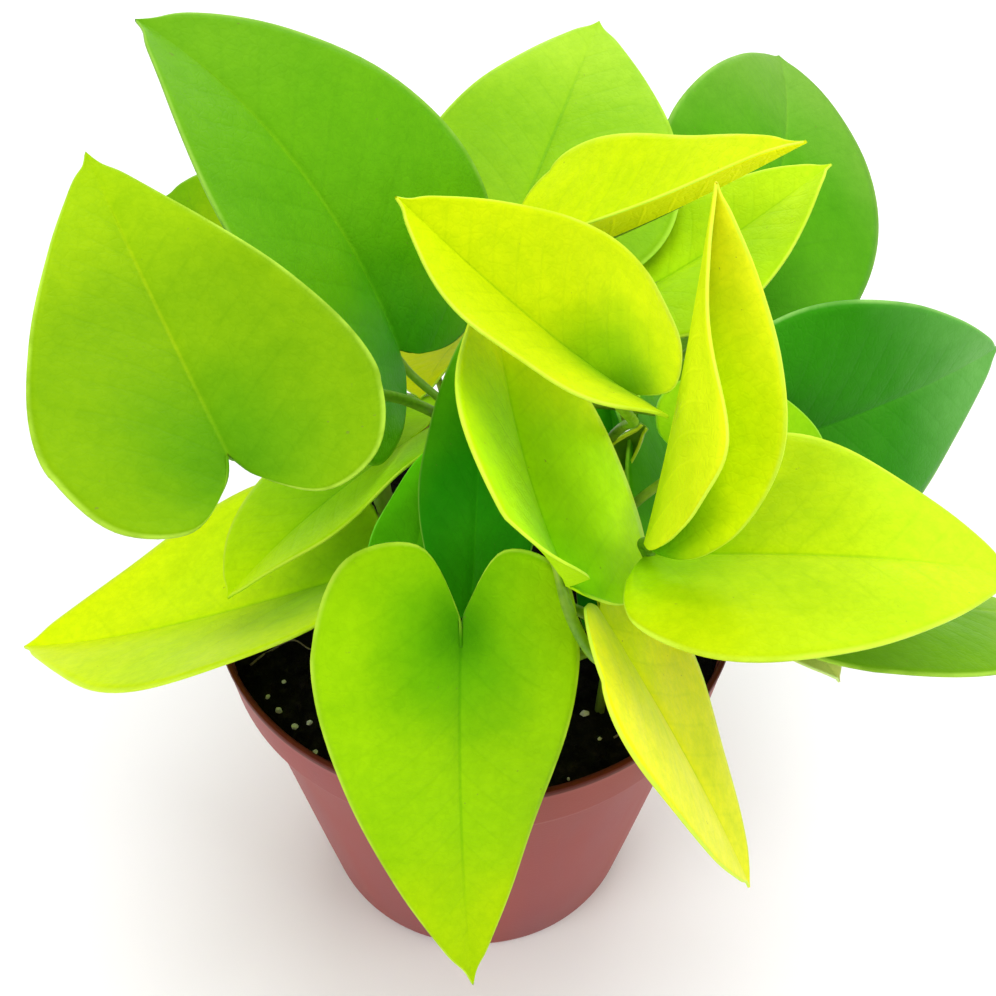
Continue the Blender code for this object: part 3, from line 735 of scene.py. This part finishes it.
def leaf_net(skin):
    """Fine net of veinlets: 0 on the lines, 1 in the cells."""
    cells = skin.node("ShaderNodeTexVoronoi", {"Vector": skin.where, "Scale": 620.0},
                      feature="DISTANCE_TO_EDGE")
    return skin.band(cells.outputs["Distance"], 0.0, 0.16)


def leaf_top(name, joint, middle, tip, gloss, rim_light, painted_cup_shade, seed):
    """Waxy upper skin: its own green, changing from joint to tip, with veins and a pale thin margin. The
    rim light sets how much paler the broad band along the lobes is, partly painted light for the lit edge
    beside a cast shadow and partly the leaf's own paler edge, and the cup shade sets how dark the painted
    shade in the hollow at the joint is."""
    skin = Skin(f"leaf_top_{name}", 0.42, gloss, LEAF_SHEEN)
    across, along, edge_share, travel = leaf_maps(skin)
    out = skin.maths("ABSOLUTE", across)
    flat = skin.times(skin.times(out, out), 0.2)
    far = skin.maths("SQRT", skin.maths("MULTIPLY_ADD", along, along, flat))
    far = skin.maths("MULTIPLY_ADD", skin.maths("SUBTRACT", skin.noise(70), 0.5), 0.22, far)
    skin.start(skin.band(far, 0.04, 0.40), joint, middle)
    skin.layer(skin.band(far, 0.45, 0.95), tip)
    # Painted light, partly the leaf's own paler edge: a paler band along the lobes.
    lit_lobe_band = skin.times(skin.band(edge_share, 0.58, 0.68), skin.band(along, 0.6, 0.15))
    skin.shade(skin.times(lit_lobe_band, rim_light), PAINTED_LOBE_LIGHT)
    # Painted shade: the hollow round the joint is darkened.
    ahead = skin.maths("ADD", along, 0.07)
    distance_from_shaded_cup = skin.maths("SQRT", skin.maths("MULTIPLY_ADD", ahead, ahead, flat))
    skin.shade(skin.band(distance_from_shaded_cup, 0.0, 0.19, painted_cup_shade, 0.0), PAINTED_CUP_SHADE)
    cloud = skin.noise(48, 4, 0.6)
    skin.shade(skin.band(cloud, 0.5, 0.72, 0.0, 0.6), CLOUD_SHADE)
    skin.shade(skin.band(cloud, 0.5, 0.28, 0.0, 0.5), CLOUD_LIGHT)
    skin.shade(skin.band(skin.noise(420, 4, 0.7), 0.35, 0.65), MOTTLE_SHADE)
    veins = vein_lines(skin, across, along, edge_share, seed)
    skin.shade(skin.times(veins, 0.35), VEIN_SHADE)
    net = leaf_net(skin)
    skin.shade(skin.band(net, 0.0, 1.0, 0.18, 0.0), NET_SHADE)
    rib_line = skin.times(skin.band(out, 0.006, 0.022, 1.0, 0.0), skin.band(along, 0.98, 0.45))
    skin.shade(skin.times(rib_line, 0.6), DARK_LEAF_RIB if middle[1] < 0.42 else PALE_LEAF_RIB)
    specks = skin.times(skin.band(skin.noise(850, 2), 0.735, 0.76), skin.band(skin.noise(60, 2), 0.5, 0.6))
    skin.layer(skin.times(specks, 0.5), SPECK_COLOUR)
    broken = skin.band(skin.noise(130), 0.3, 0.6, 0.35, 0.9)
    margin = skin.times(skin.band(edge_share, 0.962, 0.998), broken)
    pale = [min(most, max(value * 1.3 + 0.03, least))
            for value, least, most in zip(tip, DARKEST_MARGIN, PALEST_MARGIN)]
    skin.layer(skin.times(margin, skin.band(travel, 0.04, 0.14)), pale)
    fine = skin.maths("MULTIPLY_ADD", skin.noise(1500, 2), 0.4, net)
    height = skin.maths("MULTIPLY_ADD", veins, -1.2, fine)
    return skin.seal(skin.band(cloud, 0.3, 0.7, 0.36, 0.50), height, 0.12, 0.0003)


def leaf_underside(name, tone, seed):
    """Paler, more matt lower skin, with the side veins standing slightly proud."""
    skin = Skin(f"leaf_under_{name}", 0.6, 0.015, LEAF_SHEEN)
    across, along, edge_share, _ = leaf_maps(skin)
    skin.start(skin.band(along, 0.1, 0.9), tone, [min(1.0, value * 1.15) for value in tone])
    cloud = skin.noise(90, 4, 0.6)
    skin.shade(skin.band(cloud, 0.4, 0.7, 0.0, 0.7), VEIN_SHADE)
    veins = vein_lines(skin, across, along, edge_share, seed)
    skin.shade(skin.times(veins, 0.35), (1.2, 1.15, 1.3))
    height = skin.maths("MULTIPLY_ADD", veins, 1.5, leaf_net(skin))
    return skin.seal(skin.band(cloud, 0.3, 0.7, 0.52, 0.66), height, 0.25, 0.0004)


def stalk_skin():
    """Smooth green leafstalk with fine lengthwise streaks."""
    skin = Skin("leaf_stalk", 0.45, 0.3)
    streaks = skin.noise(800)
    skin.start(skin.band(skin.noise(75), 0.35, 0.65), STALK_GREEN, STALK_LIME)
    skin.shade(skin.band(streaks, 0.4, 0.7), (0.78, 0.84, 0.7))
    skin.layer(skin.band(skin.split(skin.where)["Z"], *FOOT_HEIGHTS), STALK_FOOT)
    return skin.seal(skin.band(streaks, 0.3, 0.7, 0.38, 0.52), streaks, 0.2, 0.0004)


def channelled(angle, share):
    """A leafstalk's section: a shallow channel on one side, deepest where its foot clasps the stem."""
    depth = 0.10 + 0.16 * (1 - share) ** 2
    return 1 - depth * math.exp(-((angle - math.pi) / 0.55) ** 2)


def make_stalk(name, rib, foot, knee, neck, material):
    """A stalk that thickens where it meets the blade and runs on under it as a tapering raised midrib."""
    centre, _, up = at_share(rib, (0, *RIDGE_SHARES))
    stalk = cubic(foot, knee, neck, centre[0] - up[0] * STALK_DROP, 26)
    start = stalk[0] - (stalk[1] - stalk[0]) / np.linalg.norm(stalk[1] - stalk[0]) * STALK_SETTING
    ridge = [middle - above * drop for middle, above, drop in zip(centre[1:], up[1:], RIDGE_DROPS)]
    knots = np.vstack([start, stalk[:-1:2], ridge])
    path = smooth_curve(knots, 96)
    share = np.linspace(0, 1, len(path))
    ridge_share = (len(stalk[:-1:2]) + 0.5) / (len(knots) - 1)
    onward = np.clip((share - ridge_share) / (1 - ridge_share), 0, 1)
    radii = STALK_RADIUS + (STALK_TIP_RADIUS - STALK_RADIUS) * np.clip(share / ridge_share, 0, 1)
    radii += 0.18 * np.exp(-((share - ridge_share + 0.05) / 0.05) ** 2)
    radii *= 1 - 0.80 * onward ** 0.7
    builder = bmesh.new()
    add_tube(builder, path, radii, 16, channelled)
    return finish_object(builder, "leafstalk_" + name, [material])


def leaf(name, base, lean, size, bend, fold, curl, stalk, tones, lobes=1, belly=0, skew=0,
         gloss=0.06, under=None, rim_light=0.15, painted_cup_shade=0.25, notch=(1, 1), lift=(0, 0)):
    """One leaf: its blade with upper and lower skins, and its stalk. base is the joint, lean the heading,
    pitch and roll there, size the length and width, bend the droop, tip droop, sweep and twist over the
    length, and stalk the foot, knee and neck of the stalk's curve. Pairs hold the left and right half."""
    lobes = lobes if isinstance(lobes, tuple) else (lobes, lobes)
    length, width = size
    rib = midrib(base, *lean, length, *bend)
    seed = (lean[0] % 10) / 10
    under = under or [value * 0.8 + extra for value, extra in zip(tones[1], (0.03, 0.04, 0.004))]
    skins = [leaf_top(name, *tones, gloss, rim_light, painted_cup_shade, seed), leaf_underside(name, under, seed)]
    blade = make_blade(name, rib, width, fold, curl, lobes, belly, skew, notch, lift, seed, skins)
    fix_piece(blade, "leaf_" + name)
    fix_piece(make_stalk(name, rib, *stalk, STALK_SKIN), "stalk_" + name)


STALK_SKIN = stalk_skin()

leaf("left", base=(-38.5, -46, 178.5), lean=(120, 15, 5), size=(64, 55.5), bend=(-13, -5, 1, 0),
     fold=(14, 13), curl=(-8, 9), lobes=1.15, belly=0.2,
     stalk=((16.5, -9.5, 126), (-20, -1, 180), (-30, -42, 177)),
     tones=((0.105, 0.307, 0.002), (0.192, 0.388, 0.002), (0.34, 0.557, 0.002)))

leaf("back_left", base=(-16.5, 16, 152.5), lean=(154, 72, -2), size=(83, 75.5),
     bend=(40, 11, 5, -10), fold=(15, 16), curl=(4, -12), lobes=(0.85, 0.5), belly=0.05,
     stalk=((16.5, -4, 112), (12, 10, 133), (-16, 20, 138)),
     tones=((0.042, 0.29, 0.002), (0.112, 0.38, 0.002), (0.134, 0.377, 0.006)), gloss=0.15, notch=(0.2, 1))

leaf("far_left", base=(-37.5, 56.5, 127.5), lean=(139, 23, -33), size=(65, 60.5),
     bend=(18, 9, 1, -5), fold=(12, 16), curl=(-12, -11), belly=-0.05,
     stalk=((-0.5, 21, 100), (-6, 24, 110), (-33, 53, 117)),
     tones=((0.133, 0.379, 0.002), (0.3, 0.47, 0.002), (0.165, 0.403, 0.002)))

leaf("back", base=(7.5, 50, 161), lean=(70, 20, 5), size=(67, 62), bend=(-1, 0, 1, 3),
     fold=(9, 8), curl=(-8, -8), lobes=0.85, skew=-0.1,
     stalk=((9.5, 26.5, 123.5), (20.5, 33, 142), (7, 46, 151)),
     tones=((0.23, 0.485, 0.002), (0.222, 0.486, 0.002), (0.355, 0.621, 0.021)), gloss=0.2)

leaf("back_right", base=(62.5, 57, 136.5), lean=(59, 35, 32), size=(79.5, 67.5),
     bend=(18, 7, 35, -5), fold=(12, 7), curl=(-6, -16), lobes=0.5, belly=-0.3, skew=0.05,
     stalk=((24, 31.5, 94), (32, 38, 123), (58, 54, 128)),
     tones=((0.041, 0.26, 0.002), (0.082, 0.352, 0.003), (0.179, 0.408, 0.037)), gloss=0.15)

leaf("right_dark", base=(62, -1.5, 143), lean=(23, 0, 60), size=(62, 56),
     bend=(-6, 3, 13, 15), fold=(12, 7), curl=(-9, -3), belly=-0.1, skew=-0.05,
     stalk=((-15, 2.5, 124), (6, 13, 158), (44, 0, 146)),
     tones=((0.015, 0.19, 0.002), (0.024, 0.249, 0.003), (0.143, 0.442, 0.082)), gloss=0.15)

leaf("young_upper", base=(11, 24, 169), lean=(-25, 31, 24), size=(63, 56.5), bend=(-15, 6, 5, -3),
     fold=(5, 58), curl=(-4, -16), lobes=0.6, belly=0.4,
     stalk=((3.5, 39.5, 94), (5, 37, 109), (10, 43, 144)),
     tones=((0.63, 0.757, 0.002), (0.597, 0.779, 0.002), (0.742, 0.87, 0.012)), under=(0.93, 0.96, 0.004))

leaf("upper_right", base=(36, 36, 154.5), lean=(26, 15, -2), size=(51, 47), bend=(-21, 7, -1, -6),
     fold=(13, 13), curl=(-12, -16), belly=0.05,
     stalk=((21, 25.5, 94), (25, 28, 108), (32, 29, 124)),
     tones=((0.415, 0.73, 0.002), (0.382, 0.663, 0.002), (0.537, 0.82, 0.01)))

leaf("top", base=(24, -27, 178.5), lean=(163, 31, 5), size=(47.5, 44.5), bend=(-12, 4, -3, -37),
     fold=(29, 23), curl=(-3, -9), lobes=(1, 1.15), belly=0.1, skew=-0.05,
     stalk=((22, -6, 124), (29, 12, 152), (34, -35, 166)),
     tones=((0.252, 0.497, 0.002), (0.551, 0.7, 0.002), (0.604, 0.752, 0.002)), notch=(0.2, 0), painted_cup_shade=0.8)

leaf("young_upright", base=(30.5, -44.5, 157), lean=(71, 39, -12), size=(63, 57),
     bend=(-54, 6, 6, -7), fold=(110, 21), curl=(24, -15), lobes=0.2, belly=-0.1, skew=0.25,
     stalk=((31, -40, 151.5), (30, -39, 153), (32, -43, 154)),
     tones=((0.135, 0.434, 0.002), (0.755, 0.93, 0.003), (0.93, 0.93, 0.021)), under=(0.75, 0.88, 0.01))

leaf("right", base=(32, -40.5, 150), lean=(-18, 21, -8), size=(63, 59.5), bend=(25, 12, 18, 10),
     fold=(14, 16), curl=(-9, -20), lobes=0.15, belly=0.1,
     stalk=((45, -7.5, 94), (45, -7, 124), (40, -48, 122)),
     tones=((0.397, 0.747, 0.002), (0.434, 0.617, 0.002), (0.538, 0.789, 0.016)), rim_light=0.5, painted_cup_shade=0.5)

leaf("center", base=(17, -50.5, 153), lean=(117, 29, 43), size=(60.5, 56.5),
     bend=(-6, 10, -23, -4), fold=(23, 15), curl=(-15, -16), lobes=(0.15, 0.6), belly=0.15, skew=-0.05,
     stalk=((27.5, -32.5, 94), (29, -29, 134), (27, -67, 126)),
     tones=((0.251, 0.666, 0.002), (0.529, 0.93, 0.002), (0.93, 0.93, 0.002)), lift=(5, 0), painted_cup_shade=0.35)

leaf("center_dark", base=(0, -44, 135), lean=(86, 51, -17), size=(60.5, 25),
     bend=(15, 7, 3, -2), fold=(6, 8), curl=(-15, -12), lobes=-0.05, belly=-0.2, skew=-0.05,
     stalk=((4, -32, 94), (3, -35, 109), (0, -46, 117)),
     tones=((0.045, 0.36, 0.002), (0.018, 0.26, 0.002), (0.12, 0.45, 0.003)))

leaf("front", base=(-1.5, -54, 139), lean=(-93, -64, 0), size=(71.5, 47.5),
     bend=(15, -33, 14, 0), fold=(-2, 14), curl=(-15, -15), lobes=1.35, belly=0.25, skew=-0.1,
     stalk=((-12, -28, 94), (-8, -39, 123), (-2, -43, 138)),
     tones=((0.139, 0.451, 0.002), (0.323, 0.644, 0.002), (0.415, 0.628, 0.002)), notch=(0.05, 0.05),
     painted_cup_shade=0.85)

leaf("front_right", base=(24, -43, 137), lean=(-37, -49, -23), size=(68, 62.5), bend=(5, 5, -3, 5),
     fold=(1, 26), curl=(-11, -19), lobes=0.6, belly=0.35, skew=-0.05,
     stalk=((-17.5, -5, 118), (-17, -12, 129), (7, -37, 135)),
     tones=((0.775, 0.93, 0.002), (0.93, 0.93, 0.004), (0.93, 0.93, 0.03)), under=(0.93, 0.96, 0.002))

leaf("low_left", base=(-21.5, -16.5, 119), lean=(186, -19, 19), size=(83, 77),
     bend=(4, -17, -8, -3), fold=(17, 13), curl=(-11, 12), lobes=0.2, belly=-0.1,
     stalk=((12.5, -8, 100), (8, -11, 108), (-13, -19, 110)),
     tones=((0.528, 0.93, 0.002), (0.65, 0.928, 0.002), (0.734, 0.889, 0.002)))

leaf("inner_left", base=(-15, 7, 134.5), lean=(226, -2, 20), size=(51.5, 46), bend=(14, 7, 3, -11),
     fold=(22, 7), curl=(-3, -13), lobes=(1.25, 2.2), belly=-0.35, skew=-0.1,
     stalk=((1, 20.5, 118), (-3, 18, 124), (-9, 11, 130)),
     tones=((0.241, 0.458, 0.002), (0.322, 0.677, 0.002), (0.601, 0.93, 0.002)), under=(0.30, 0.55, 0.004))

leaf("inner_dark", base=(-12, -35, 135.5), lean=(77, 36, -10), size=(31, 18.5),
     bend=(16, 8, 1, -1), fold=(12, 12), curl=(-12, -12),
     stalk=((-14, -6.5, 106), (-9, -18, 124), (-9, -29, 122)),
     tones=((0.068, 0.353, 0.002), (0.076, 0.385, 0.002), (0.174, 0.846, 0.003)))

leaf("low_right", base=(69.5, -30.5, 126), lean=(5, -7, -19), size=(58.5, 54), bend=(18, 6, 14, 0),
     fold=(-5, 7), curl=(-13, -11), lobes=1.05, belly=-0.15,
     stalk=((36, -16.5, 94), (42, -19, 113), (52, -39, 111)),
     tones=((0.1, 0.25, 0.003), (0.145, 0.35, 0.008), (0.3, 0.52, 0.03)), gloss=0.04)

leaf("small_right", base=(58, -11, 112), lean=(-44, -10, -9), size=(30.5, 27.5),
     bend=(20, 8, 0, -2), fold=(12, 14), curl=(-12, -12),
     stalk=((10, -33, 94), (10, -33, 115), (44, -26, 107)),
     tones=((0.237, 0.435, 0.002), (0.354, 0.497, 0.002), (0.93, 0.93, 0.25)))

leaf("small_back", base=(-2, 60.5, 127), lean=(249, 15, 26), size=(37, 37), bend=(13, 8, 5, 5),
     fold=(10, 10), curl=(-9, -11), lobes=0.7, skew=-0.2,
     stalk=((-10.5, 29.5, 94), (-9, 34, 106), (0, 62, 122)),
     tones=((0.473, 0.566, 0.002), (0.576, 0.639, 0.002), (0.64, 0.718, 0.002)))

leaf("inner_right", base=(43, -16.5, 151), lean=(17, -3, 26), size=(34.5, 32.5),
     bend=(31, 9, 1, 1), fold=(16, 12), curl=(-7, -12), lobes=0.95, belly=-0.05, skew=0.05,
     stalk=((21.5, -14, 118.5), (26.5, -17.5, 128.5), (29, -17, 141)),
     tones=((0.199, 0.452, 0.003), (0.295, 0.614, 0.003), (0.265, 0.605, 0.002)))

leaf("inner_olive", base=(44, -8, 119), lean=(91, 31, 46), size=(49.5, 44.5),
     bend=(17, 8, 3, 2), fold=(17, 12), curl=(-10, -12), skew=0.12,
     stalk=((32, -15.5, 94), (35, -14, 106), (38, -10, 114)),
     tones=((0.077, 0.403, 0.002), (0.085, 0.409, 0.002), (0.35, 0.926, 0.002)), under=(0.10, 0.28, 0.004),
     gloss=0.01)

leaf("small_inner", base=(34.5, 1.5, 111), lean=(247, -4, 42), size=(26.5, 24),
     bend=(18, 8, 1, 3), fold=(17, 12), curl=(-9, -12),
     stalk=((27.5, 16, 94), (28, 15, 102), (38, 9, 106)),
     tones=((0.009, 0.21, 0.002), (0.012, 0.259, 0.002), (0.014, 0.277, 0.002)))

leaf("small_center", base=(33, -6.5, 118), lean=(97, 36, -46), size=(38, 36),
     bend=(17, 8, -2, -5), fold=(45, 49), curl=(-12, -6), lobes=0.2,
     stalk=((2, 35, 94), (6, 30, 117), (37, -4, 115)),
     tones=((0.047, 0.405, 0.002), (0.054, 0.443, 0.002), (0.067, 0.499, 0.002)), under=(0.05, 0.22, 0.003))

leaf("rear", base=(-15.5, 69, 121), lean=(100, 12, 0), size=(59.5, 51.5), bend=(62, 8, 0, 0),
     fold=(12, 12), curl=(-12, -12),
     stalk=((-4.5, 39.5, 94), (-5, 40, 111), (-14, 62, 116)),
     tones=((0.065, 0.283, 0.003), (0.127, 0.418, 0.004), (0.168, 0.474, 0.015)))

leaf("rear_right", base=(40, 62, 120), lean=(62, 8, 0), size=(52, 46), bend=(58, 8, 0, 0),
     fold=(12, 12), curl=(-12, -12),
     stalk=((7.5, 26, 112.5), (8.5, 34, 125.5), (28, 51, 112.5)),
     tones=((0.188, 0.413, 0.003), (0.227, 0.468, 0.003), (0.262, 0.546, 0.003)))


# ------------------------------------------------------------------------------
# Rolled leaf: the newest leaf, still rolled into a narrow open scoop beside the right stem. It is
# green inside, with the bright yellow margin of its overlapping edge.
SCOOP_PATH = ((23, -11, 134.5), (26.5, -9, 139.5), (30.5, -5.5, 144), (34, -4.5, 149.5))
SCOOP_ROWS = 48
SCOOP_COLUMNS = 28
SCOOP_RADIUS = 3.0
SCOOP_FACING = Vector((0.0, -0.83, 0.55))
SCOOP_GREEN = (0.12, 0.30, 0.004)
SCOOP_PALE = (0.20, 0.42, 0.006)
SCOOP_MARGIN = (0.72, 0.86, 0.02)


def scoop_skin():
    skin = Skin("rolled_leaf_skin", 0.42, 0.2)
    reach = skin.split(skin.node("ShaderNodeUVMap", uv_map="roll").outputs[0])
    streaks = skin.noise(500)
    skin.start(streaks, SCOOP_GREEN, SCOOP_PALE)
    skin.layer(skin.band(reach["X"], 0.72, 0.95), SCOOP_MARGIN)
    skin.layer(skin.band(reach["Y"], 0.12, 0.0), SCOOP_MARGIN)
    return skin.seal(None, streaks, 0.2, 0.0003)


def make_rolled_leaf():
    """Warp a flat grid into a roll that is open along one side, widest in the middle and pointed above."""
    path = smooth_curve(SCOOP_PATH, SCOOP_ROWS + 1)
    axis = Vector(path[-1] - path[0]).normalized()
    facing = (SCOOP_FACING - axis * SCOOP_FACING.dot(axis)).normalized()
    aside = axis.cross(facing)
    sheet = bmesh.new()
    bmesh.ops.create_grid(sheet, x_segments=SCOOP_ROWS, y_segments=SCOOP_COLUMNS, size=1)
    roll_map = sheet.loops.layers.uv.new("roll")
    for face in sheet.faces:
        for loop in face.loops:
            loop[roll_map].uv = (abs(loop.vert.co.y), (loop.vert.co.x + 1) / 2)
    for vert in sheet.verts:
        share = (vert.co.x + 1) / 2
        radius = SCOOP_RADIUS * (0.30 + 0.70 * math.sin(math.pi * min(1.0, share * 1.08)) ** 0.8)
        spread = math.radians(150 - 45 * math.sin(math.pi * share))
        angle = math.pi + vert.co.y * spread
        radius *= 1 + 0.12 * vert.co.y
        out = facing * math.cos(angle) + aside * math.sin(angle)
        vert.co = (Vector(path[round(share * SCOOP_ROWS)]) + out * radius) * MM
    bmesh.ops.recalc_face_normals(sheet, faces=sheet.faces)
    return thicken(finish_object(sheet, "rolled_new_leaf", [scoop_skin()]))


fix_piece(make_rolled_leaf(), "rolled_leaf")
